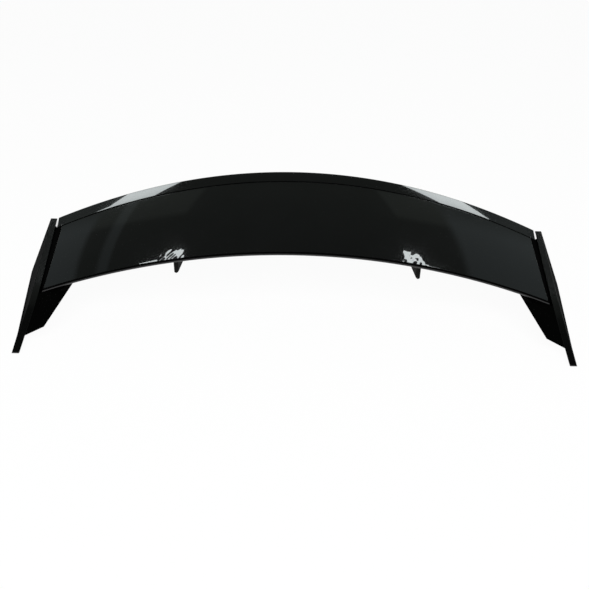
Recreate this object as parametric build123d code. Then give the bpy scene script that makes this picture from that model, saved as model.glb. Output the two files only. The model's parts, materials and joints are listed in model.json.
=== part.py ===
from build123d import *
import os
from math import sqrt

# Arched rear spoiler for a hatchback roof, in millimetres.
# +X is the car's right, +Y is forward, +Z is up. The trailing edge is at the rear, towards -Y.
# The origin is midway across and along, on the level of the lowest tips.

# Place of the trailing edge where it meets an end plate
trailing_edge_y = -100.5
trailing_edge_z = 94.4

# Planform, crown and slope of the blade
half_span = 565.0
blade_depth = 250.0
front_bow = 50.0
rear_crown = 108.5
front_crown = 115.5
end_rise = 67.0

# Section of the blade
camber = 6.0
edge_thickness = 4.0
edge_roundness = 0.6
strip_width = 45.0
strip_fall = 4.5
nose_reach = 2.0
nose_depth = 17.0
belly = 19.0
wall = 3.0
rib_thickness = 2.4
rib_spacing = 110.0
end_block = 25.0

# Cover panel, with the gaps round it
panel_thickness = 3.0
rim_width = 4.5
shut_gap = 2.5
ledge_rear = 22.0
ledge_front = 11.0
panel_end_gap_front = 15.0
panel_end_gap_rear = 7.0

# Ends of the blade and the sunk neck that joins them to the end plates
blade_end_gap_front = 5.5
blade_end_gap_rear = 6.0
neck_sink = 12.0
neck_inset_front = 16.0
neck_inset_rear = 40.0
neck_step = 1.5

# End plates: lean and toe are sideways travel for each unit of drop and of forward run
plate_thickness = 15.5
plate_lean = 0.4865
plate_toe = 0.178
plate_wall = 3.5
plate_skirt = 7.0
plate_bottom_run = 178.0
fang_run = 106.0
fang_drop = 90.4
fang_tip = 6.0
fang_root = 62.0
rim_bend_radius = 190.0
rim_edge_bevel = 1.0
plate_front_radius = 2.0
plate_heel_radius = 14.0

# Roof under the spoiler: slopes of the seats, as rise for each unit of run
roof_rise = 0.153
foot_fall = 0.29
fin_fall = 0.15

# Legs inside the end plates
leg_height = 50.0
leg_foot_inset = 19.0
leg_flare = 0.94
leg_recess = 3.0
leg_length = 165.0
leg_wall = 3.0
leg_roof = 12.0

# Support fins
fin_x = 271.0
fin_setback = 55.0
fin_length = 150.0
fin_widest = 65.0
fin_rear_width = 9.0
fin_width = 26.0
fin_front_width = 10.0
fin_foot_drop = 57.0

# Fasteners, inserts and pads
insert_radius = 4.5
insert_length = 12.0
stud_radius = 3.0
boss_wall = 3.5
insert_rear = 36.0
insert_front = 104.0
insert_inset = 5.0
screw_radius = 2.0
screw_head_radius = 4.0
screw_head_height = 2.6
screw_grip = 9.0
screw_fit = 0.15
driver_fit = 1.0
leg_screw_rear = 70.0
leg_screw_front = 138.0
leg_screw_inset = 14.0
fin_screw_rear = 45.0
fin_screw_front = 100.0
fin_boss_rise = 7.0
pad_thickness = 1.2
pad_margin = 4.0
pad_hole_margin = 2.5
fin_pad_margin = 1.8

# Sizes that follow from those above
half_front = half_span + plate_toe * blade_depth - plate_lean * end_rise
reach = half_front + 25.0
corner = Vector(half_span, trailing_edge_y, trailing_edge_z)
everything = 3.0 * reach
sideways = Vector(1, -plate_toe, plate_lean)


def station(x):
    """The plane of a blade section at x, with its chord along the plane's own x axis."""
    rear_share = 1 - (x / half_span) ** 2
    front_share = 1 - (x / half_front) ** 2
    rear = Vector(x, trailing_edge_y, trailing_edge_z + rear_crown * rear_share)
    front = Vector(
        x,
        trailing_edge_y + blade_depth + front_bow * front_share,
        trailing_edge_z + end_rise + front_crown * front_share,
    )
    return Plane(origin=rear, x_dir=front - rear, z_dir=(1, 0, 0)), (front - rear).length


def blade_loft(profile):
    """A body through the profile's sections, across the whole span and a little past it."""
    steps = 2
    sections = []
    for step in range(-steps, steps + 1):
        plane, chord = station(reach * step / steps)
        sections.append(plane * make_face(profile(chord)))
    return loft(sections)


def top_height(c, chord):
    return 4 * camber * (c / chord) * (1 - c / chord)


def under_height(c, chord):
    along = c / (chord - nose_reach)
    slope = edge_thickness + (nose_depth - edge_thickness) * along
    return -slope - 4 * belly * along * (1 - along)


def skin_arc(c1, c2, chord, height, lift):
    """An arc that follows a skin's height from c1 to c2, raised by lift."""
    points = [(c, height(c, chord) + lift) for c in (c1, (c1 + c2) / 2, c2)]
    return ThreePointArc(*points)


def closed(first, second):
    """The edges of a section that lies between two arcs running the same way."""
    return [first, Line(first @ 1, second @ 1), second, Line(first @ 0, second @ 0)]


def outer_profile(chord):
    strip = chord - strip_width
    nose_back = chord - nose_reach
    top = skin_arc(0, strip, chord, top_height, 0)
    strip_end = Vector(nose_back, top_height(strip, chord) - strip_fall)
    strip_middle = (top @ 1 + strip_end) / 2 + Vector(0, strip_fall / 5)
    nose_low = Vector(nose_back, -nose_depth)
    nose_front = Vector(chord + nose_reach, (strip_end.Y + nose_low.Y) / 2)
    under = skin_arc(0, nose_back, chord, under_height, 0)
    return [
        top,
        ThreePointArc(top @ 1, strip_middle, strip_end),
        ThreePointArc(strip_end, nose_front, under @ 1),
        under,
        ThreePointArc((0, 0), (-edge_roundness, -edge_thickness / 2), (0, -edge_thickness)),
    ]


def skin_cut(c1, c2, chord, depth):
    """A section that cuts the top skin away between c1 and c2, down to a depth below it."""
    above = skin_arc(c1, c2, chord, top_height, depth)
    return closed(above, skin_arc(c1, c2, chord, top_height, -depth))


def pocket_profile(depth):
    """What is cut from the top of the blade, between its rim and its strip."""

    def profile(chord):
        return skin_cut(rim_width, chord - strip_width, chord, depth)

    return profile


def rear_gap_profile(chord):
    return skin_cut(0, rim_width + shut_gap, chord, 2 * panel_thickness)


def front_gap_profile(chord):
    return skin_cut(chord - strip_width - shut_gap, chord - strip_width / 2, chord, 2 * panel_thickness)


def cavity_profile(chord):
    """The hollow of the lower shell: open on top up to the ledges, and running on under the strip."""
    c1 = rim_width + ledge_rear
    c2 = chord - strip_width - ledge_front
    c3 = chord - nose_depth
    top = skin_arc(c1, c2, chord, top_height, -panel_thickness / 2)
    floor = skin_arc(c1, c3, chord, under_height, wall)
    shelf = Vector(c2, top_height(c2, chord) - panel_thickness - wall)
    nose = Vector(c3, top_height(c3, chord) - strip_fall - wall)
    forward = [Line(top @ 1, shelf), Line(shelf, nose), Line(nose, floor @ 1)]
    return [top, *forward, floor, Line(floor @ 0, top @ 0)]


def neck_profile(chord):
    c1 = neck_inset_rear
    c2 = chord - neck_inset_front
    top = skin_arc(c1, c2, chord, top_height, -neck_sink - neck_step)
    return closed(top, skin_arc(c1, c2, chord, under_height, neck_step))


def end_plane(gap_front, gap_rear):
    """A plane across the right end of the blade, with its own gap to the end plate at each edge."""
    toe = plate_toe - (gap_front - gap_rear) / blade_depth
    return Plane(origin=corner - Vector(gap_rear, 0, 0), z_dir=(1, -toe, plate_lean))


def plate_plane(shift):
    """A plane along the right end plate, moved outward from its inner face by shift."""
    return Plane(origin=corner + Vector(shift, 0, 0), z_dir=sideways)


def inside(solid, plane):
    return split(solid, bisect_by=plane, keep=Keep.BOTTOM)


def beyond(solid, plane):
    return split(solid, bisect_by=plane, keep=Keep.TOP)


def mirrored(shape):
    return mirror(shape, about=Plane.YZ)


def trim_ends(solid, plane):
    """What lies between the plane at the right end and its mirror image at the left."""
    half = inside(solid, plane)
    other = Plane(
        origin=(-plane.origin.X, plane.origin.Y, plane.origin.Z),
        z_dir=(-plane.z_dir.X, plane.z_dir.Y, plane.z_dir.Z),
    )
    return inside(half, other)


def slab(x, thickness):
    return Pos(x, 0, 0) * Box(thickness, everything, everything)


def block(planes):
    """A body with one flat face on each plane; the planes face outward."""
    solid = Pos(corner) * Box(everything, everything, everything)
    for plane in planes:
        solid = inside(solid, plane)
    return solid


def seat_plane(point, fall):
    """A plane on the roof through point, facing down, that falls away sideways."""
    return Plane(origin=point, z_dir=(-fall, roof_rise, -1))


def along(plane, distance):
    """The plane moved along its own direction."""
    return Plane(origin=plane.origin + plane.z_dir * distance, z_dir=plane.z_dir)


def crossing(plane, x, y):
    """The plane moved to where it crosses the upright line at x, y."""
    normal = plane.z_dir
    fall = (x - plane.origin.X) * normal.X + (y - plane.origin.Y) * normal.Y
    return Plane(origin=(x, y, plane.origin.Z - fall / normal.Z), z_dir=normal)


def post(plane, radius, start, end):
    """A round bar on a plane's axis, from start to end along that axis."""
    return extrude(along(plane, start) * Circle(radius), end - start)


def screw(seat, length):
    """A pan head screw: the seat plane faces the way the shank points."""
    head = post(seat, screw_head_radius, -screw_head_height, 0)
    return head + post(seat, screw_radius, 0, length)


def under_seat(x, run, lift):
    """A plane facing down, lift above the underside of the blade at x and run from the trailing edge."""
    plane, chord = station(x)
    c = run / plane.x_dir.Y
    place = plane.origin + plane.x_dir * c + plane.y_dir * under_height(c, chord)
    return Plane(origin=place + Vector(0, 0, lift), z_dir=(0, 0, -1))


# Support fins: a tapering outline between the roof's seat and the underside of the blade
fin_seats = [
    under_seat(fin_x, fin_setback + run, wall + fin_boss_rise)
    for run in (fin_screw_rear, fin_screw_front)
]
fin_screw_length = fin_boss_rise + wall + screw_grip
fin_rear = Vector(fin_x, trailing_edge_y + fin_setback, 0)
fin_edge = station(fin_x)[0].origin.Z
fin_foot = seat_plane(fin_rear + Vector(0, 0, fin_edge - fin_foot_drop), fin_fall)
boss_radius = insert_radius + boss_wall


def fin_bar(margin):
    """The outline of a fin drawn in by margin, carried up past the blade."""
    rounds = []
    for run, width in (
        (fin_rear_width / 2, fin_rear_width),
        (fin_widest, fin_width),
        (fin_length - fin_front_width / 2, fin_front_width),
    ):
        rounds += (Pos(fin_rear.X, fin_rear.Y + run) * Circle(width / 2 - margin)).edges()
    return extrude(make_hull(rounds), everything / 2)


# Blade lower shell
outer_body = blade_loft(outer_profile)
blade_end = end_plane(blade_end_gap_front, blade_end_gap_rear)
panel_end = end_plane(panel_end_gap_front, panel_end_gap_rear)
channel = beyond(blade_loft(pocket_profile(neck_sink)), panel_end)
neck = inside(beyond(blade_loft(neck_profile), blade_end), plate_plane(0))
cavity_half = half_span - end_block
cavity = blade_loft(cavity_profile) & Box(2 * cavity_half, everything, everything)
rib_count = int((cavity_half - rib_thickness) / rib_spacing)
ribs = [slab(index * rib_spacing, rib_thickness) for index in range(-rib_count, rib_count + 1)]
fin_bosses = [post(seat, boss_radius, 0, 4 * fin_boss_rise) for seat in fin_seats]
cavity = cavity - ribs - fin_bosses - [mirrored(boss) for boss in fin_bosses]
pocket = blade_loft(pocket_profile(panel_thickness))
shell = trim_ends(outer_body, blade_end) - [pocket, channel, mirrored(channel), cavity]
shell = shell + [neck, mirrored(neck)]

# Blade cover panel: the piece that the pocket takes from the blade, less the gaps round it
panel = (outer_body & pocket) - [blade_loft(rear_gap_profile), blade_loft(front_gap_profile)]
panel = trim_ends(panel, panel_end)


def side_point(run, rise):
    """A point of an end plate's outline: run forward of the trailing edge, rise above it."""
    return (trailing_edge_y + run, trailing_edge_z + rise)


def foot_line(run):
    """Height of the foot where it meets the inner face of the end plate."""
    sink = leg_height - run * (roof_rise - foot_fall * plate_toe)
    return -sink / (1 - foot_fall * plate_lean)


# End plates: a side outline carried across and cut along the two leaning faces
fang_length = sqrt(fang_run**2 + fang_drop**2)
tip = Vector(-fang_run, -fang_drop)
tip_low = tip + Vector(fang_drop, -fang_run) * (fang_tip / fang_length)
outline = [
    side_point(blade_depth, end_rise),
    side_point(0, 0),
    side_point(tip.X, tip.Y),
    side_point(tip_low.X, tip_low.Y),
    side_point(-fang_root, foot_line(-fang_root) - plate_skirt),
    side_point(plate_bottom_run, foot_line(plate_bottom_run) - plate_skirt),
]
corner_radii = [
    plate_front_radius,
    rim_bend_radius,
    fang_tip / 3,
    fang_tip / 3,
    plate_heel_radius,
    plate_heel_radius,
]
plate_outline = make_face(FilletPolyline(*outline, radius=corner_radii, close=True))
plate = extrude(Plane.YZ * plate_outline, everything / 2)
plate = inside(beyond(plate, plate_plane(0)), plate_plane(plate_thickness))

# Legs: open boxes under the ends of the blade, closed on the outside by the end plates
foot_plane = seat_plane(corner - Vector(0, 0, leg_height), foot_fall)
rear_plane = Plane(origin=corner, z_dir=(0, -fang_drop, fang_run))
front_plane = Plane(origin=corner + Vector(0, leg_length, 0), z_dir=(0, 1, 0))
inner_foot = corner - Vector(leg_foot_inset, 0, leg_height - foot_fall * leg_foot_inset)
inner_plane = Plane(origin=inner_foot, z_dir=(-1, leg_flare * roof_rise, -leg_flare))


def leg_block(inset, shift):
    """The leg's outline drawn in by inset, reaching shift past the end plate's inner face."""
    return block([
        plate_plane(shift),
        along(foot_plane, -inset),
        along(inner_plane, -inset),
        along(rear_plane, -leg_recess - inset),
        along(front_plane, -inset),
    ])


def lowest(solid):
    return solid.solids().sort_by(Axis.Z)[0]


def beside_plate(plane, setback, inset):
    """A plane's place along the leg, inset from the end plate's inner face at the trailing edge's level."""
    return crossing(plane, corner.X + plate_toe * setback - inset, corner.Y + setback)


roof_tilt = Vector(0, -end_rise, blade_depth)
roof_plane = Plane(origin=corner - Vector(0, 0, edge_thickness + belly + leg_roof), z_dir=roof_tilt)
insert_seats = [beside_plate(foot_plane, setback, insert_inset) for setback in (insert_rear, insert_front)]
screw_setbacks = (leg_screw_rear, leg_screw_front)
leg_seats = [beside_plate(roof_plane, setback, leg_screw_inset) for setback in screw_setbacks]
leg_screw_length = leg_roof + screw_grip
pilot_radius = screw_radius + screw_fit
driver_radius = screw_head_radius + driver_fit

leg = lowest(leg_block(0, 0) - outer_body)
bosses = [post(seat, boss_radius, -insert_length - boss_wall, 0) for seat in insert_seats]
hollow = inside(leg_block(leg_wall, 0), roof_plane) - bosses
insert_holes = [post(seat, insert_radius, -insert_length, 0) for seat in insert_seats]
leg_pilots = [post(seat, pilot_radius, 0, leg_screw_length + screw_fit) for seat in leg_seats]
driver_holes = [post(seat, driver_radius, -leg_height, 0) for seat in leg_seats]
leg = leg - [hollow] - insert_holes - leg_pilots - driver_holes

plate_hollow = inside(leg_block(2 * leg_wall, plate_thickness - plate_wall), along(roof_plane, -leg_wall))
plate_faces = plate.faces().sort_by(Axis.X)
plate = chamfer(plate_faces[-1].edges() + plate_faces[0].edges(), rim_edge_bevel) - plate_hollow

fin_pilots = [post(seat, pilot_radius, 0, fin_screw_length + screw_fit) for seat in fin_seats]
fin = lowest(inside(fin_bar(0), fin_foot) - outer_body) - fin_pilots
pilots = leg_pilots + fin_pilots
shell = shell - pilots - [mirrored(pilot) for pilot in pilots]

# Inserts, screws and pads
inserts = [
    post(seat, insert_radius, -insert_length, 0) - post(seat, stud_radius, -insert_length, 0)
    for seat in insert_seats
]
leg_screws = [screw(seat, leg_screw_length) for seat in leg_seats]
fin_screws = [screw(seat, fin_screw_length) for seat in fin_seats]


def upside(plane):
    return Plane(origin=plane.origin, z_dir=-plane.z_dir)


foot_pad = block([
    plate_plane(-pad_margin),
    along(foot_plane, pad_thickness),
    upside(foot_plane),
    along(inner_plane, -pad_margin),
    along(rear_plane, -leg_recess - pad_margin),
    along(front_plane, -pad_margin),
])
pad_hole = insert_radius + pad_hole_margin
foot_pad = foot_pad - [post(seat, pad_hole, -pad_thickness, 2 * pad_thickness) for seat in insert_seats]
fin_pad = beyond(inside(fin_bar(fin_pad_margin), along(fin_foot, pad_thickness)), fin_foot)

pieces = {"blade_lower_shell": shell, "blade_cover_panel": panel}
right_side = {
    "end_plate": plate,
    "leg": leg,
    "support_fin": fin,
    "foot_pad": foot_pad,
    "fin_pad": fin_pad,
}
for kind, pair in (("foot_insert", inserts), ("leg_screw", leg_screws), ("fin_screw", fin_screws)):
    for place, solid in zip(("rear", "front"), pair):
        right_side[f"{kind}_{place}"] = solid
for name, solid in right_side.items():
    pieces[f"{name}_right"] = solid
    pieces[f"{name}_left"] = mirrored(solid)

os.makedirs("parts", exist_ok=True)
for name, solid in pieces.items():
    export_step(solid, f"parts/{name}.step")
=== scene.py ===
import json
import math

import bmesh
import bpy
from mathutils import Matrix, Vector


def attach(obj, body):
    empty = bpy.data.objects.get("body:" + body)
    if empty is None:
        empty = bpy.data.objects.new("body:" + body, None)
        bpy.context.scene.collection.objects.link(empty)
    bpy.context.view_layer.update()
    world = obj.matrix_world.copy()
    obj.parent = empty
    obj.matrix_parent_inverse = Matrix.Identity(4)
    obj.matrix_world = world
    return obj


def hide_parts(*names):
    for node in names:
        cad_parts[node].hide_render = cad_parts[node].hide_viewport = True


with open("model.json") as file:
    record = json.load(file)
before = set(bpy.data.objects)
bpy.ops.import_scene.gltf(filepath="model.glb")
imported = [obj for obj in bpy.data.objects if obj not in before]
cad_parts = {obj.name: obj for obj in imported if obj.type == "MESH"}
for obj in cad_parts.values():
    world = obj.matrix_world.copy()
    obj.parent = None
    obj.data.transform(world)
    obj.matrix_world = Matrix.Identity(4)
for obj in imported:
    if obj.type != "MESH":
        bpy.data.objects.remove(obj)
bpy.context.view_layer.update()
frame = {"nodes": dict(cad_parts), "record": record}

# Arched rear spoiler in black lacquer. Sizes are in millimetres and become metres in the meshes.
# +X is the car's right, +Y is forward and +Z is up, as in the frame.
MM = 0.001
# Keeps the finer meshes inside the box of the solids
WITHIN = 0.9998

# The driving sizes that follow are the same as those of the solids.
# Place of the trailing edge where it meets an end plate
EDGE_Y = -100.5
EDGE_Z = 94.4

# Planform, crown and slope of the blade
HALF_SPAN = 565.0
BLADE_DEPTH = 250.0
FRONT_BOW = 50.0
REAR_CROWN = 108.5
FRONT_CROWN = 115.5
END_RISE = 67.0

# Section of the blade
CAMBER = 6.0
EDGE_THICKNESS = 4.0
EDGE_ROUNDNESS = 0.6
STRIP_WIDTH = 45.0
STRIP_FALL = 4.5
NOSE_REACH = 2.0
NOSE_DEPTH = 17.0
BELLY = 19.0

# Cover panel and the gaps round it, those at its ends as (front, rear)
PANEL_THICKNESS = 3.0
RIM_WIDTH = 4.5
SHUT_GAP = 2.5
PANEL_END_GAPS = (15.0, 7.0)

# Sunk necks that join the ends of the blade to the end plates
NECK_SINK = 12.0
NECK_STEP = 1.5
NECK_INSET_FRONT = 16.0
NECK_INSET_REAR = 40.0

# End plates: lean and toe are sideways travel for each unit of drop and of forward run
PLATE_THICKNESS = 15.5
PLATE_LEAN = 0.4865
PLATE_TOE = 0.178
PLATE_SKIRT = 7.0
PLATE_BOTTOM_RUN = 178.0
FANG_RUN = 106.0
FANG_DROP = 90.4
FANG_TIP = 6.0
FANG_ROOT = 62.0
RIM_BEND_RADIUS = 190.0
PLATE_FRONT_RADIUS = 2.0
PLATE_HEEL_RADIUS = 14.0

# Slopes of the roof under the spoiler, and the height of the legs on it
ROOF_RISE = 0.153
FOOT_FALL = 0.29
FIN_FALL = 0.15
LEG_HEIGHT = 50.0

# Support fins
FIN_X = 271.0
FIN_SETBACK = 55.0
FIN_LENGTH = 150.0
FIN_WIDTH = 26.0
FIN_FRONT_WIDTH = 10.0
FIN_FOOT_DROP = 57.0

# These differ a little from the sizes of the solids, to look as in the photograph: a broad dark line
# in front of the panel, a narrow notch beside each end plate, a flat strip and a full rear of the fins
FRONT_SHUT_GAP = 5.2
BLADE_END_GAPS = (3.0, 6.0)
STRIP_SWELL = 0.225
FIN_WIDEST = 55.0
FIN_REAR_WIDTH = 10.0

# Half the width of the blade at its front corners
HALF_FRONT = HALF_SPAN + PLATE_TOE * BLADE_DEPTH - PLATE_LEAN * END_RISE

# Rounding of visible edges
PANEL_ROUND = 0.12
STRIP_ROUND = 0.12
RIM_ROUND = 0.3
PLATE_ROUND = 1.0
FIN_ROUND = 1.6
ROUND_STEPS = 4
ROUND_HOLD = 0.4
BEVEL_SEGMENTS = 3
BEVEL_ANGLE = math.radians(40)
SMOOTH_ANGLE = math.radians(35)

# How often a place that depends on itself is worked out again
SETTLE_ROUNDS = 6


# Shape of the blade

def station(x):
    """Rear point, chord direction and chord length of the blade section at x."""
    rear_share = 1 - (x / HALF_SPAN) ** 2
    front_share = 1 - (x / HALF_FRONT) ** 2
    rear = Vector((EDGE_Y, EDGE_Z + REAR_CROWN * rear_share))
    front = Vector((
        EDGE_Y + BLADE_DEPTH + FRONT_BOW * front_share,
        EDGE_Z + END_RISE + FRONT_CROWN * front_share,
    ))
    chord = front - rear
    return rear, chord.normalized(), chord.length


def on_section(x, c, h):
    """The point at c along the chord and h above it, in the section at x."""
    rear, along, _ = station(x)
    return Vector((x, rear.x + along.x * c - along.y * h, rear.y + along.y * c + along.x * h))


def top_height(c, chord):
    """Height of the upper skin above the chord, a parabola."""
    return 4 * CAMBER * (c / chord) * (1 - c / chord)


def under_height(c, chord):
    """Height of the underside, which lies below the chord."""
    share = c / (chord - NOSE_REACH)
    slope = EDGE_THICKNESS + (NOSE_DEPTH - EDGE_THICKNESS) * share
    return -slope - 4 * BELLY * share * (1 - share)


def end_x(gaps, y, z):
    """Where the plane across the right end of the blade stands, given its gaps to the end plate."""
    front, rear = gaps
    toe = PLATE_TOE - (front - rear) / BLADE_DEPTH
    return HALF_SPAN - rear + toe * (y - EDGE_Y) - PLATE_LEAN * (z - EDGE_Z)


def ring(section, places, relief=None):
    """A section's points, each carried to its own place across the span.

    section gives the points (c, h) for a chord; relief adds a height that depends on x and c."""
    points = []
    for index, x in enumerate(places):
        c, h = section(station(x)[2])[index]
        if relief:
            h += relief(x, c)
        points.append(on_section(x, c, h))
    return points


def end_places(section, gaps, inset=0.0):
    """How far out each point of the section lies on the end plane, moved in by inset."""
    places = [HALF_SPAN] * len(section(BLADE_DEPTH))
    for _ in range(SETTLE_ROUNDS):
        places = [end_x(gaps, point.y, point.z) - inset for point in ring(section, places)]
    return places


def scaled(places, share):
    return [share * x for x in places]


def spread(low, high, count):
    """Values at even steps from low to high."""
    return [low + (high - low) * i / (count - 1) for i in range(count)]


def arc_points(start, middle, end, count):
    """Points on the arc through three points of a plane."""
    a, b, c = Vector(start), Vector(middle), Vector(end)
    d = 2 * (a.x * (b.y - c.y) + b.x * (c.y - a.y) + c.x * (a.y - b.y))
    aa, bb, cc = a.length_squared, b.length_squared, c.length_squared
    centre = Vector((
        (aa * (b.y - c.y) + bb * (c.y - a.y) + cc * (a.y - b.y)) / d,
        (aa * (c.x - b.x) + bb * (a.x - c.x) + cc * (b.x - a.x)) / d,
    ))
    radius = (a - centre).length
    first, mid, last = (math.atan2(p.y - centre.y, p.x - centre.x) for p in (a, b, c))
    turn = (last - first) % math.tau
    if (mid - first) % math.tau > turn:
        turn -= math.tau
    angles = spread(first, first + turn, count)
    return [centre + radius * Vector((math.cos(t), math.sin(t))) for t in angles]


def rounding(radius):
    """Steps of a quarter round as (distance in from the edge, drop below the skin), inward end first.

    The first step lies a little further in, so that the skin stays flat up to the round."""
    angles = spread(0, math.pi / 2, ROUND_STEPS + 1)
    arc = [(radius * (1 - math.sin(t)), radius * (1 - math.cos(t))) for t in angles]
    return [(radius + ROUND_HOLD, 0.0)] + arc


# Meshes

def make_object(name, verts, faces, slot, material, node):
    """A piece from points in millimetres, riding on the root in place of a solid."""
    mesh = bpy.data.meshes.new(name)
    mesh.from_pydata([Vector(v) * MM * WITHIN for v in verts], [], faces)
    body = bmesh.new()
    body.from_mesh(mesh)
    bmesh.ops.recalc_face_normals(body, faces=body.faces)
    body.to_mesh(mesh)
    body.free()
    mesh.shade_smooth()
    mesh.set_sharp_from_angle(angle=SMOOTH_ANGLE)
    mesh.materials.append(material)
    piece = bpy.data.objects.new(name, mesh)
    bpy.context.scene.collection.objects.link(piece)
    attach(piece, "root")
    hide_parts(node)
    return piece


def tube(rings):
    """Points and faces of a closed skin over rings that have the same number of points.

    The faces between rings come first, then the one that closes the first ring and the last ring's."""
    size = len(rings[0])
    verts = [point for points in rings for point in points]
    faces = []
    for i in range(len(rings) - 1):
        for j in range(size):
            k = (j + 1) % size
            faces.append((i * size + j, i * size + k, (i + 1) * size + k, (i + 1) * size + j))
    faces.append(tuple(reversed(range(size))))
    faces.append(tuple(range((len(rings) - 1) * size, len(rings) * size)))
    return verts, faces


def joined(*parts):
    """Several lists of points and faces as one."""
    verts, faces = [], []
    for part_verts, part_faces in parts:
        base = len(verts)
        verts += part_verts
        faces += [tuple(base + i for i in face) for face in part_faces]
    return verts, faces


def add_bevel(piece, width):
    bevel = piece.modifiers.new("edges", "BEVEL")
    bevel.width = width * MM
    bevel.segments = BEVEL_SEGMENTS
    bevel.limit_method = "ANGLE"
    bevel.angle_limit = BEVEL_ANGLE
    bevel.harden_normals = True


# Cover panel: finely meshed near the fins, where the skin is slightly uneven
FINE_SPAN = (225.0, 320.0)
FINE_STEP = 1.5
COARSE_STEP = 6.0
FINE_DEPTH = 48.0
FINE_ROWS = 33
COARSE_ROWS = 36
BOTTOM_ROWS = 12

# Ripples above the fins: their middles across, their reach across and along, how sharply they fade,
# their height, and their waves as radians a millimetre across and along, and a phase
RIPPLE_PLACES = (-276.0, 251.0)
RIPPLE_WIDE = 24.0
RIPPLE_LONG = 36.0
RIPPLE_FADE = 4
RIPPLE_HEIGHT = 0.12
RIPPLE_WAVES = ((0.29, 0.15, 0.4), (-0.22, 0.33, 1.9), (0.46, -0.27, 3.1))


def unevenness(x, c):
    """Height of the ripples in the lacquered skin above the fins."""
    height = 0.0
    for place in RIPPLE_PLACES:
        fade = math.exp(-((x - place) / RIPPLE_WIDE) ** RIPPLE_FADE - (c / RIPPLE_LONG) ** RIPPLE_FADE)
        height += fade * sum(math.sin(a * x + b * c + phase) for a, b, phase in RIPPLE_WAVES)
    return RIPPLE_HEIGHT * height / len(RIPPLE_WAVES)


def panel_section(end_drop):
    """The panel's section, its top skin lowered by at least end_drop."""
    def section(chord):
        first = RIM_WIDTH + SHUT_GAP
        last = chord - STRIP_WIDTH - FRONT_SHUT_GAP
        fine_end = first + FINE_DEPTH
        rounds = rounding(PANEL_ROUND)
        top = [(first + inset, drop) for inset, drop in reversed(rounds)]
        flat = PANEL_ROUND + ROUND_HOLD
        top += [(c, 0) for c in spread(first + flat, fine_end, FINE_ROWS)[1:]]
        top += [(c, 0) for c in spread(fine_end, last - flat, COARSE_ROWS)[1:-1]]
        top += [(last - inset, drop) for inset, drop in rounds]
        skin = [(c, top_height(c, chord) - max(drop, end_drop)) for c, drop in top]
        bottom = spread(last, first, BOTTOM_ROWS)
        return skin + [(c, top_height(c, chord) - PANEL_THICKNESS) for c in bottom]
    return section


def panel_shares():
    """Shares of the half span from left to right, closer together near the fins."""
    half = []
    x = 0.0
    while x < HALF_SPAN - COARSE_STEP:
        half.append(x / HALF_SPAN)
        x += FINE_STEP if FINE_SPAN[0] < x < FINE_SPAN[1] else COARSE_STEP
    return [-share for share in reversed(half[1:])] + half


def build_panel(material):
    """The cover panel, with its top edges rounded all the way round."""
    ends = []
    for inset, drop in rounding(PANEL_ROUND):
        section = panel_section(drop)
        ends.append((section, end_places(section, PANEL_END_GAPS, inset)))
    main, places = ends[0]
    rings = [ring(section, scaled(outer, -1)) for section, outer in reversed(ends)]
    rings += [ring(main, scaled(places, share), unevenness) for share in panel_shares()]
    rings += [ring(section, outer) for section, outer in ends]
    make_object("cover_panel", *tube(rings), "panel_black", material, "blade_cover_panel")


# Lower shell: rows of points along its section, and sections across the span
RIM_ROWS = 4
LEDGE_ROWS = 14
STRIP_ROWS = 30
NOSE_ROWS = 17
UNDER_ROWS = 44
EDGE_ROWS = 7
SHELL_STATIONS = 181
NECK_ROWS = 12
# How far the neck reaches into the end of the blade
NECK_ROOT = 2.0


def shell_section(depth):
    """The shell's section, with the pocket for the panel at a depth below the skin."""
    def section(chord):
        front = chord - STRIP_WIDTH
        nose_back = chord - NOSE_REACH

        def skin(c, lift):
            return c, top_height(c, chord) + lift

        start = Vector(skin(front, 0))
        end = Vector((nose_back, start.y - STRIP_FALL))
        low = Vector((nose_back, -NOSE_DEPTH))
        strip = arc_points(start, (start + end) / 2 + Vector((0, STRIP_SWELL)), end, STRIP_ROWS)
        nose = arc_points(end, (chord + NOSE_REACH, (end.y + low.y) / 2), low, NOSE_ROWS)
        edge_middle = (-EDGE_ROUNDNESS, -EDGE_THICKNESS / 2)
        edge = arc_points((0, -EDGE_THICKNESS), edge_middle, (0, 0), EDGE_ROWS)
        flat_end = RIM_WIDTH - RIM_ROUND - ROUND_HOLD
        points = [skin(c, 0) for c in spread(0, flat_end, RIM_ROWS)[:-1]]
        points += [skin(RIM_WIDTH - inset, -drop) for inset, drop in rounding(RIM_ROUND)]
        points += [skin(c, -depth) for c in spread(RIM_WIDTH, front, LEDGE_ROWS)]
        points += [skin(front + inset, -drop) for inset, drop in reversed(rounding(STRIP_ROUND)[1:])]
        points += [tuple(point) for point in strip[1:]]
        points += [tuple(point) for point in nose[1:-1]]
        points += [(c, under_height(c, chord)) for c in spread(nose_back, 0, UNDER_ROWS)]
        return points + [tuple(point) for point in edge[1:-1]]
    return section


def neck_section(chord):
    columns = spread(NECK_INSET_REAR, chord - NECK_INSET_FRONT, NECK_ROWS)
    top = [(c, top_height(c, chord) - NECK_SINK - NECK_STEP) for c in columns]
    return top + [(c, under_height(c, chord) + NECK_STEP) for c in reversed(columns)]


def build_neck(side):
    """The sunk bridge from the end of the blade to the end plate."""
    root = end_places(neck_section, BLADE_END_GAPS, NECK_ROOT)
    tip = end_places(neck_section, (0.0, 0.0))
    return tube([ring(neck_section, scaled(places, side)) for places in (root, tip)])


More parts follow.
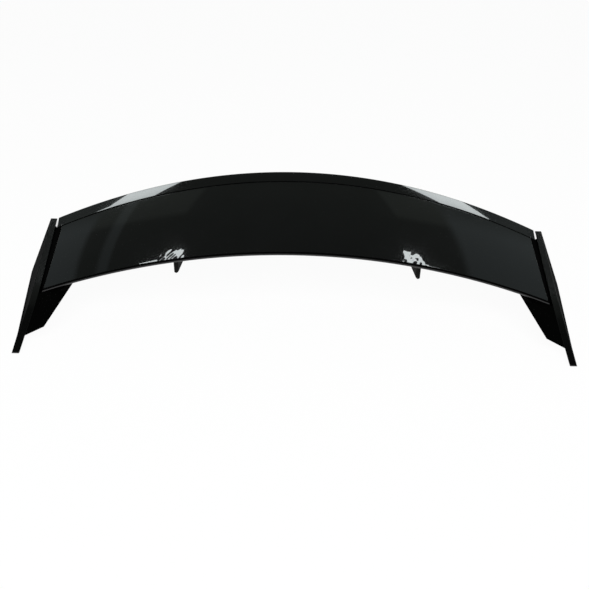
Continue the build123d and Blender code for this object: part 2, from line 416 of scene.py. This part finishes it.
def build_shell(material, matt_material):
    """The shell, its rear rim and the pocket under the panel in a material of their own."""
    main = shell_section(PANEL_THICKNESS)
    sunk = shell_section(NECK_SINK)
    inner = end_places(main, PANEL_END_GAPS)
    steps = [
        (main, inner),
        (sunk, end_places(sunk, PANEL_END_GAPS)),
        (sunk, end_places(sunk, BLADE_END_GAPS)),
    ]
    rings = [ring(section, scaled(places, -1)) for section, places in reversed(steps)]
    rings += [ring(main, scaled(inner, share)) for share in spread(-1, 1, SHELL_STATIONS)[1:-1]]
    rings += [ring(section, places) for section, places in steps]
    verts, faces = joined(tube(rings), build_neck(-1), build_neck(1))
    shell = make_object("lower_shell", verts, faces, "gloss_black", material, "blade_lower_shell")
    shell.data.materials.append(matt_material)
    # The section's first rows run from the trailing edge to the front wall of the pocket
    size = len(rings[0])
    matt_rows = RIM_ROWS + ROUND_STEPS + LEDGE_ROWS + 1
    for index in range(size * (len(rings) - 1)):
        if index % size < matt_rows:
            shell.data.polygons[index].material_index = 1


# End plates: wide bends get more steps than the corners
WIDE_BEND = 100.0
BEND_STEPS = 24
CORNER_STEPS = 10


def filleted(corners, radii):
    """A closed outline with its corners rounded."""
    points = []
    for index, (corner, radius) in enumerate(zip(corners, radii)):
        here = Vector(corner)
        back = (Vector(corners[index - 1]) - here).normalized()
        ahead = (Vector(corners[(index + 1) % len(corners)]) - here).normalized()
        half = math.acos(back.dot(ahead)) / 2
        length = radius / math.tan(half)
        middle = (back + ahead).normalized()
        crest = here + middle * (radius / math.sin(half) - radius)
        steps = BEND_STEPS if radius > WIDE_BEND else CORNER_STEPS
        points += arc_points(here + back * length, crest, here + ahead * length, steps)
    return points


def foot_line(run):
    """Height of the foot where it meets the inner face of the end plate."""
    sink = LEG_HEIGHT - run * (ROOF_RISE - FOOT_FALL * PLATE_TOE)
    return -sink / (1 - FOOT_FALL * PLATE_LEAN)


def plate_outline():
    """The plate's outline as run forward of the trailing edge and rise above it."""
    tip = Vector((-FANG_RUN, -FANG_DROP))
    across = Vector((FANG_DROP, -FANG_RUN)).normalized()
    tip_radius = FANG_TIP / 3
    corners = [
        (BLADE_DEPTH, END_RISE),
        (0, 0),
        tip,
        tip + across * FANG_TIP,
        (-FANG_ROOT, foot_line(-FANG_ROOT) - PLATE_SKIRT),
        (PLATE_BOTTOM_RUN, foot_line(PLATE_BOTTOM_RUN) - PLATE_SKIRT),
    ]
    radii = [
        PLATE_FRONT_RADIUS,
        RIM_BEND_RADIUS,
        tip_radius,
        tip_radius,
        PLATE_HEEL_RADIUS,
        PLATE_HEEL_RADIUS,
    ]
    return filleted(corners, radii)


def build_plate(side, word, material, outer_painted_sheen):
    """An end plate, its outer face in a matt material of its own, whose colour is painted sheen and
    painted shade.
    """
    rings = []
    for shift in (0.0, PLATE_THICKNESS):
        points = []
        for run, rise in plate_outline():
            x = HALF_SPAN + shift + PLATE_TOE * run - PLATE_LEAN * rise
            points.append(Vector((side * x, EDGE_Y + run, EDGE_Z + rise)))
        rings.append(points)
    name = f"end_plate_skin_{word}"
    piece = make_object(name, *tube(rings), "plate_black", material, f"end_plate_{word}")
    # The outer face is matt, its colour painted sheen and painted shade
    piece.data.materials.append(outer_painted_sheen)
    piece.data.polygons[-1].material_index = 1
    add_bevel(piece, PLATE_ROUND)


# Support fins
FIN_OUTLINE_STEPS = 72


def fin_outline(inset):
    """The outline of a fin drawn in by inset, as sideways and forward distances from its rear."""
    rounds = (
        (FIN_REAR_WIDTH / 2, FIN_REAR_WIDTH / 2),
        (FIN_WIDEST, FIN_WIDTH / 2),
        (FIN_LENGTH - FIN_FRONT_WIDTH / 2, FIN_FRONT_WIDTH / 2),
    )
    points = []
    for index in range(FIN_OUTLINE_STEPS):
        angle = math.tau * index / FIN_OUTLINE_STEPS
        forward, radius = max(rounds, key=lambda r: r[0] * math.cos(angle) + r[1])
        radius -= inset
        points.append((radius * math.sin(angle), forward + radius * math.cos(angle)))
    return points


def underside(x, y):
    """Height of the blade's underside at x, y."""
    rear, along, chord = station(x)
    c = y - rear.x
    for _ in range(SETTLE_ROUNDS):
        h = under_height(c, chord)
        c = (y - rear.x + along.y * h) / along.x
    return on_section(x, c, h).z


def build_fin(side, word, material):
    """A fin from its rounded foot, slanted as the roof is, up to the blade's underside."""
    rear_y = EDGE_Y + FIN_SETBACK
    foot_z = station(FIN_X)[0].y - FIN_FOOT_DROP

    def level(inset, height):
        points = []
        for aside, forward in fin_outline(inset):
            x, y = FIN_X + aside, rear_y + forward
            points.append(Vector((side * x, y, height(x, y))))
        return points

    def seat(lift):
        return lambda x, y: foot_z + ROOF_RISE * (y - rear_y) - FIN_FALL * (x - FIN_X) + lift

    rings = [level(inset, seat(drop)) for inset, drop in rounding(FIN_ROUND)]
    rings.append(level(0, underside))
    make_object(f"support_fin_skin_{word}", *tube(rings), "fin_grey", material, f"support_fin_{word}")


# Shader nodes

# The part of a noise texture's range in which most of its values lie
NOISE_RANGE = (0.3, 0.7)


def nodes_of(material):
    material.use_nodes = True
    tree = material.node_tree
    return tree, tree.nodes["Principled BSDF"]


def set_inputs(node, settings):
    for name, setting in settings.items():
        node.inputs[name].default_value = setting


def feed(tree, socket, value):
    """Set a socket to a number, or link another socket to it."""
    if isinstance(value, (int, float)):
        socket.default_value = value
    else:
        tree.links.new(value, socket)


def calc(tree, operation, first, second):
    """The outcome of a sum with two values, each a number or a socket."""
    node = tree.nodes.new("ShaderNodeMath")
    node.operation = operation
    feed(tree, node.inputs[0], first)
    feed(tree, node.inputs[1], second)
    return node.outputs[0]


def noise(tree, scale, detail=4.0, rough=0.55):
    where = tree.nodes.new("ShaderNodeTexCoord")
    texture = tree.nodes.new("ShaderNodeTexNoise")
    set_inputs(texture, {"Scale": scale, "Detail": detail, "Roughness": rough})
    tree.links.new(where.outputs["Object"], texture.inputs["Vector"])
    return texture.outputs["Fac"]


def mapped(tree, value, from_low, from_high, low, high, kind="LINEAR"):
    """The value carried from one range to another."""
    node = tree.nodes.new("ShaderNodeMapRange")
    node.interpolation_type = kind
    set_inputs(node, {"From Min": from_low, "From Max": from_high, "To Min": low, "To Max": high})
    tree.links.new(value, node.inputs["Value"])
    return node.outputs["Result"]


def from_noise(tree, value, low, high):
    """A noise value carried from its usual range to another."""
    return mapped(tree, value, *NOISE_RANGE, low, high)


def colour_between(tree, value, low, high):
    mix = tree.nodes.new("ShaderNodeMix")
    mix.data_type = "RGBA"
    set_inputs(mix, {"A": (*low, 1), "B": (*high, 1)})
    tree.links.new(from_noise(tree, value, 0, 1), mix.inputs["Factor"])
    return mix.outputs["Result"]


def bump(tree, height, strength, distance):
    node = tree.nodes.new("ShaderNodeBump")
    set_inputs(node, {"Strength": strength, "Distance": distance})
    tree.links.new(height, node.inputs["Height"])
    return node.outputs["Normal"]


# Materials. A grain is a noise scale, a strength, and a depth in metres.
LACQUER_COLOUR_SCALE = 9.0
LACQUER_ROUGH_SCALE = 24.0
PEEL_SCALE = 260.0
PEEL_DETAIL = 2.0
PEEL_DEPTH = 0.00012
LACQUER_SHADER = {
    "Specular IOR Level": 0.05,
    "Coat Weight": 1.0,
    "Coat Roughness": 0.012,
    "Coat IOR": 1.5,
}
GRAINED_COLOUR_SCALE = 60.0
GRAINED_ROUGH_SCALE = 150.0
GRAIN_DETAIL = 3.0


def lacquer(name, colours, roughs, peel):
    """Black lacquer: a sharp clear coat with a faint orange peel over a slightly hazy base."""
    material = bpy.data.materials.new(name)
    tree, shader = nodes_of(material)
    colour = colour_between(tree, noise(tree, LACQUER_COLOUR_SCALE), *colours)
    rough = from_noise(tree, noise(tree, LACQUER_ROUGH_SCALE), *roughs)
    normal = bump(tree, noise(tree, PEEL_SCALE, PEEL_DETAIL), peel, PEEL_DEPTH)
    set_inputs(shader, LACQUER_SHADER)
    tree.links.new(colour, shader.inputs["Base Color"])
    tree.links.new(rough, shader.inputs["Roughness"])
    tree.links.new(normal, shader.inputs["Normal"])
    tree.links.new(normal, shader.inputs["Coat Normal"])
    return material


def grained(name, colours, roughs, grain, specular=0.5, metallic=0.0):
    """A material with a fine grain: moulded plastic, foam or plated metal."""
    scale, strength, depth = grain
    material = bpy.data.materials.new(name)
    tree, shader = nodes_of(material)
    colour = colour_between(tree, noise(tree, GRAINED_COLOUR_SCALE), *colours)
    rough = from_noise(tree, noise(tree, GRAINED_ROUGH_SCALE), *roughs)
    normal = bump(tree, noise(tree, scale, GRAIN_DETAIL), strength, depth)
    set_inputs(shader, {"Metallic": metallic, "Specular IOR Level": specular})
    tree.links.new(colour, shader.inputs["Base Color"])
    tree.links.new(rough, shader.inputs["Roughness"])
    tree.links.new(normal, shader.inputs["Normal"])
    return material


def paint_shade_below(material, dark, low, high):
    """Paint shade into a material's colour: towards dark from the upper to the lower of two heights, in
    metres.
    """
    tree, shader = nodes_of(material)
    where = tree.nodes.new("ShaderNodeTexCoord")
    split = tree.nodes.new("ShaderNodeSeparateXYZ")
    mix = tree.nodes.new("ShaderNodeMix")
    mix.data_type = "RGBA"
    mix.inputs["A"].default_value = (*dark, 1)
    tree.links.new(where.outputs["Object"], split.inputs["Vector"])
    share = mapped(tree, split.outputs["Z"], low, high, 0, 1, "SMOOTHSTEP")
    tree.links.new(share, mix.inputs["Factor"])
    tree.links.new(shader.inputs["Base Color"].links[0].from_socket, mix.inputs["B"])
    tree.links.new(mix.outputs["Result"], shader.inputs["Base Color"])


def grey(value, tint=0.0):
    """A grey, its blue raised by a share."""
    return (value, value, value * (1 + tint))


def greys(low, high, tint=0.0):
    return grey(low, tint), grey(high, tint)


# Gloss: blade, panel and legs
COOL = 0.1
GLOSS_ROUGHS = (0.10, 0.16)
GLOSS_PEEL = 0.04
LEG_ROUGHS = (0.16, 0.24)
LEG_PEEL = 0.05
blade_black = lacquer("blade_lacquer", greys(0.0016, 0.0024, COOL), GLOSS_ROUGHS, GLOSS_PEEL)
panel_black = lacquer("panel_lacquer", greys(0.0014, 0.0021, COOL), GLOSS_ROUGHS, GLOSS_PEEL)
leg_black = lacquer("leg_lacquer", greys(0.0003, 0.0005), LEG_ROUGHS, LEG_PEEL)

# Satin and matt: end plates, the rim and pocket of the shell, and fins
SATIN_ROUGHS = (0.27, 0.31)
SATIN_GRAIN = (700.0, 0.05, 0.0002)
SATIN_SPECULAR = 0.33
MATT_ROUGHS = (0.6, 0.75)
MATT_GRAIN = (900.0, 0.2, 0.0002)
# Painted shade on the plates' outer face: its colour at the tips, and the heights in metres over which
# it fades out
TIP_PAINTED_SHADE = grey(0.002)
TIP_SHADE_HEIGHTS = (0.03, 0.075)
WARM = -0.06
FIN_ROUGHS = (0.5, 0.65)
FIN_GRAIN = (1500.0, 0.3, 0.0003)
FIN_SPECULAR = 0.02
plate_black = grained("plate_satin", greys(0.0007, 0.0011), SATIN_ROUGHS, SATIN_GRAIN, SATIN_SPECULAR)
# The plates' outer face: matt, its lighter colour a painted sheen in place of mirrored light
plate_painted_sheen = grained("plate_outside", greys(0.015, 0.020), MATT_ROUGHS, MATT_GRAIN, specular=0.0)
# Painted shade: the outer face darker towards the tips of the fangs
paint_shade_below(plate_painted_sheen, TIP_PAINTED_SHADE, *TIP_SHADE_HEIGHTS)
pocket_matt = grained("pocket_matt", greys(0.0014, 0.0022), MATT_ROUGHS, MATT_GRAIN, specular=0.0)
fin_grey = grained("fin_plastic", greys(0.006, 0.010, WARM), FIN_ROUGHS, FIN_GRAIN, FIN_SPECULAR)

# Pads, inserts and screws
FOAM_ROUGHS = (0.85, 0.95)
FOAM_GRAIN = (1400.0, 0.6, 0.0004)
BRASS = ((0.52, 0.35, 0.12), (0.62, 0.43, 0.17))
BRASS_ROUGHS = (0.25, 0.38)
ZINC_ROUGHS = (0.28, 0.42)
TURNED = (900.0, 0.1, 0.0001)
foam = grained("pad_foam", greys(0.012, 0.022), FOAM_ROUGHS, FOAM_GRAIN)
brass = grained("insert_brass", BRASS, BRASS_ROUGHS, TURNED, metallic=1.0)
zinc = grained("screw_zinc", greys(0.46, 0.58), ZINC_ROUGHS, TURNED, metallic=1.0)

SLOT_MATERIALS = {
    "gloss_black": blade_black,
    "panel_black": panel_black,
    "plate_black": plate_black,
    "leg_black": leg_black,
    "fin_grey": fin_grey,
    "foam": foam,
    "brass": brass,
    "zinc": zinc,
}
node_slots = {part["node"]: part["material_slot"] for part in frame["record"]["subparts"]}
for node, solid in frame["nodes"].items():
    for place in solid.material_slots:
        place.material = SLOT_MATERIALS[node_slots[node]]

build_panel(panel_black)
build_shell(blade_black, pocket_matt)
for side, word in ((1, "right"), (-1, "left")):
    build_plate(side, word, plate_black, plate_painted_sheen)
    build_fin(side, word, fin_grey)


# Studio: a pale floor, surroundings that are white at the horizon and dim above it, a soft lamp behind
# the camera, and light cards in front and overhead. Sizes and places are in metres.
FLOOR_SIZE = 30.0
FLOOR_GREY = 0.9
FLOOR_ROUGHNESS = 0.9
FLOOR_GLOW = 0.95


def card(name, corners, material):
    """A flat stage piece through corners in metres."""
    mesh = bpy.data.meshes.new(name)
    mesh.from_pydata(corners, [], [tuple(range(len(corners)))])
    mesh.materials.append(material)
    piece = bpy.data.objects.new(name, mesh)
    bpy.context.scene.collection.objects.link(piece)
    return piece


def floor_white():
    """White paper: diffuse, with a share of white glow towards the camera and in mirror images."""
    material = bpy.data.materials.new("floor_white")
    tree, shader = nodes_of(material)
    shader.inputs["Base Color"].default_value = (*grey(FLOOR_GREY), 1)
    shader.inputs["Roughness"].default_value = FLOOR_ROUGHNESS
    shader.inputs["Specular IOR Level"].default_value = 0.0
    glow = tree.nodes.new("ShaderNodeEmission")
    path = tree.nodes.new("ShaderNodeLightPath")
    seen = path.outputs["Is Camera Ray"]
    for ray in ("Is Glossy Ray", "Is Transmission Ray"):
        seen = calc(tree, "MAXIMUM", seen, path.outputs[ray])
    blend = tree.nodes.new("ShaderNodeMixShader")
    tree.links.new(mapped(tree, seen, 0, 1, 0, FLOOR_GLOW), blend.inputs["Fac"])
    tree.links.new(shader.outputs["BSDF"], blend.inputs[1])
    tree.links.new(glow.outputs["Emission"], blend.inputs[2])
    tree.links.new(blend.outputs["Shader"], tree.nodes["Material Output"].inputs["Surface"])
    return material


half_floor = FLOOR_SIZE / 2
floor_signs = ((-1, -1), (1, -1), (1, 1), (-1, 1))
floor_corners = [(x * half_floor, y * half_floor, 0) for x, y in floor_signs]
card("floor", floor_corners, floor_white())

# Surroundings, by direction: x, y and z are those of the direction's unit vector, and each pair says
# where a soft edge begins and ends along one of them. WORLD values are levels of light.
# White at the horizon
HORIZON_TINT = (1.0, 1.0, 1.0)
WORLD_HORIZON = 1.0
HORIZON_EDGE = (0.25, 0.33)

# Dim in front of the spoiler, more so low down, and dark high up behind the camera
FRONT_TINT = (0.88, 1.0, 0.90)
WORLD_DARK = 0.014
WORLD_FRONT = 0.088
FRONT_EDGE = (0.0, 0.42)
LOW_SHARE = 0.62
LOW_EDGE = (0.70, 0.79)

# Lighter overhead
WORLD_OVERHEAD = 0.2
OVERHEAD_REAR = (-0.29, -0.21)
OVERHEAD_FRONT = (0.33, 0.40)

# A faint patch in front, to the right and to the left
WORLD_PATCH = 0.055
PATCH_EDGE = (0.165, 0.19)
PATCH_HEIGHT = (0.615, 0.645)
PATCH_FOOT = (0.71, 0.74)

# Lighter at the sides, with edges that slant outward as they rise
SIDE_TINT = (0.80, 0.94, 1.0)
WORLD_SIDE = 0.152
SIDE_RIGHT = (0.365, 0.415)
SIDE_LEFT = (0.525, 0.56)
SIDE_FOOT = (0.63, 0.72)
SIDE_FOOT_SHARE = 0.3
SLANT = 1.0
SLANT_FROM = 0.6

# A narrow band beside the left side
WORLD_BAND = 0.10
BAND_INSIDE = (0.40, 0.42)
BAND_OUTSIDE = (0.44, 0.47)


def world_levels(tree, x, y, z):
    """Levels of the front's light and of the sides' light in a direction."""
    def soft(value, edge, low, high):
        return mapped(tree, value, *edge, low, high, "SMOOTHSTEP")

    def product(first, second):
        return calc(tree, "MULTIPLY", first, second)

    def difference(first, second):
        return calc(tree, "SUBTRACT", first, second)

    def larger(first, second):
        return calc(tree, "MAXIMUM", first, second)

    def total(first, second):
        return calc(tree, "ADD", first, second)

    lean = product(difference(z, SLANT_FROM), SLANT)
    rightward = difference(x, lean)
    leftward = difference(product(x, -1), lean)
    outward = larger(leftward, rightward)

    side = larger(soft(rightward, SIDE_RIGHT, 0, 1), soft(leftward, SIDE_LEFT, 0, 1))
    side_light = product(side, soft(y, SIDE_FOOT, WORLD_SIDE, WORLD_SIDE * SIDE_FOOT_SHARE))
    band = product(soft(leftward, BAND_INSIDE, 0, WORLD_BAND), soft(leftward, BAND_OUTSIDE, 1, 0))

    front = product(soft(y, FRONT_EDGE, WORLD_DARK, WORLD_FRONT), soft(y, LOW_EDGE, 1, LOW_SHARE))
    overhead = product(soft(y, OVERHEAD_REAR, 0, WORLD_OVERHEAD), soft(y, OVERHEAD_FRONT, 1, 0))
    patch = product(soft(outward, PATCH_EDGE, 0, WORLD_PATCH), soft(y, PATCH_HEIGHT, 0, 1))
    patch_end = product(soft(y, PATCH_FOOT, 1, 0), difference(1, side))
    return total(total(front, overhead), product(patch, patch_end)), total(side_light, band)


def build_world():
    """White light at the horizon, and the front's and the sides' light above it."""
    world = bpy.data.worlds.new("studio")
    bpy.context.scene.world = world
    world.use_nodes = True
    tree = world.node_tree
    where = tree.nodes.new("ShaderNodeTexCoord")
    split = tree.nodes.new("ShaderNodeSeparateXYZ")
    tree.links.new(where.outputs["Generated"], split.inputs["Vector"])
    x, y, z = (split.outputs[axis] for axis in "XYZ")

    def glow_of(tint, level):
        background = tree.nodes.new("ShaderNodeBackground")
        background.inputs["Color"].default_value = (*tint, 1)
        feed(tree, background.inputs["Strength"], level)
        return background.outputs["Background"]

    front_level, side_level = world_levels(tree, x, y, z)
    above = tree.nodes.new("ShaderNodeAddShader")
    tree.links.new(glow_of(FRONT_TINT, front_level), above.inputs[0])
    tree.links.new(glow_of(SIDE_TINT, side_level), above.inputs[1])
    whole = tree.nodes.new("ShaderNodeMixShader")
    tree.links.new(mapped(tree, z, *HORIZON_EDGE, 0, 1, "SMOOTHSTEP"), whole.inputs["Fac"])
    tree.links.new(glow_of(HORIZON_TINT, WORLD_HORIZON), whole.inputs[1])
    tree.links.new(above.outputs["Shader"], whole.inputs[2])
    tree.links.new(whole.outputs["Shader"], tree.nodes["World Output"].inputs["Surface"])


build_world()

# Key lamp
KEY_PLACE = (0.0, -4.2, 3.4)
KEY_TARGET = (0, 0, 0.1)
KEY_WIDTH = 4.0
KEY_HEIGHT = 2.0
KEY_RADIANCE = 14.0


def build_key_lamp():
    """A wide soft lamp behind the camera, which the lacquer doesn't mirror."""
    data = bpy.data.lights.new("key", "AREA")
    data.shape = "RECTANGLE"
    data.size = KEY_WIDTH
    data.size_y = KEY_HEIGHT
    data.energy = KEY_RADIANCE * math.pi * KEY_WIDTH * KEY_HEIGHT
    lamp = bpy.data.objects.new("key", data)
    bpy.context.scene.collection.objects.link(lamp)
    lamp.location = KEY_PLACE
    facing = Vector(KEY_TARGET) - Vector(KEY_PLACE)
    lamp.rotation_euler = facing.to_track_quat("-Z", "Y").to_euler()
    lamp.visible_camera = False
    lamp.visible_glossy = False


build_key_lamp()

# Light cards that the strip and the panel mirror as highlights. The upright ones have corners (x, z).
# The ones overhead have corners (x, y), and each is a block with a thin tail outward.
CARD_TINT = (0.93, 0.995, 1.0)
STRIP_RADIANCE = 4.2
SPOT_RADIANCE = 10.0
UPRIGHT_CARD_Y = 2.6
CEILING_CARD_Z = 1.4
STRIP_CARDS = {
    "right": ((1.090, 1.772), (1.590, 1.981), (2.117, 1.765), (1.674, 1.569)),
    "left": ((-1.110, 1.779), (-1.496, 2.035), (-2.110, 1.803), (-1.930, 1.808), (-1.623, 1.612)),
}
SPOT_CARDS = {
    "right": (
        (0.735, 0.592), (0.735, 0.703), (0.845, 0.703), (0.88, 0.624),
        (1.08, 0.646), (1.08, 0.642), (0.88, 0.606),
    ),
    "left": (
        (-0.735, 0.592), (-0.735, 0.675), (-0.845, 0.668), (-0.88, 0.624),
        (-1.06, 0.646), (-1.06, 0.642), (-0.88, 0.606),
    ),
}


def glowing(name, radiance):
    material = bpy.data.materials.new(name)
    tree, _ = nodes_of(material)
    glow = tree.nodes.new("ShaderNodeEmission")
    set_inputs(glow, {"Color": (*CARD_TINT, 1), "Strength": radiance})
    tree.links.new(glow.outputs["Emission"], tree.nodes["Material Output"].inputs["Surface"])
    return material


strip_glow = glowing("strip_glow", STRIP_RADIANCE)
spot_glow = glowing("spot_glow", SPOT_RADIANCE)
for word in ("right", "left"):
    strip_corners = [(x, UPRIGHT_CARD_Y, z) for x, z in STRIP_CARDS[word]]
    spot_corners = [(x, y, CEILING_CARD_Z) for x, y in SPOT_CARDS[word]]
    card(f"strip_card_{word}", strip_corners, strip_glow).visible_camera = False
    card(f"spot_card_{word}", spot_corners, spot_glow).visible_camera = False

# Camera at the photograph's viewing angle. Its place is measured from the trailing edge, in millimetres,
# and its yaw, pitch and roll are in degrees.
IMAGE_SIZE = 589
FOCAL_PIXELS = 850.0
SENSOR = 36.0
CLIP_END = 100.0
CAMERA_ASIDE = -40.4
CAMERA_BACK = 1631.2
CAMERA_RISE = 913.8
CAMERA_ANGLES = (1.20, 29.0, 2.01)


def build_camera():
    yaw, pitch, roll = (math.radians(angle) for angle in CAMERA_ANGLES)
    look = Vector((math.sin(yaw) * math.cos(pitch), math.cos(yaw) * math.cos(pitch), -math.sin(pitch)))
    level_right = Vector((math.cos(yaw), -math.sin(yaw), 0))
    level_up = level_right.cross(look)
    right = math.cos(roll) * level_right + math.sin(roll) * level_up
    up = -math.sin(roll) * level_right + math.cos(roll) * level_up
    place = Vector((CAMERA_ASIDE, EDGE_Y - CAMERA_BACK, EDGE_Z + CAMERA_RISE)) * MM
    turn = Matrix((right, up, -look)).transposed().to_4x4()
    data = bpy.data.cameras.new("camera")
    data.sensor_width = SENSOR
    data.lens = SENSOR * FOCAL_PIXELS / IMAGE_SIZE
    data.clip_end = CLIP_END
    camera = bpy.data.objects.new("camera", data)
    bpy.context.scene.collection.objects.link(camera)
    camera.matrix_world = Matrix.Translation(place) @ turn
    return camera


bpy.context.scene.camera = build_camera()
bpy.context.scene.view_settings.view_transform = "Standard"
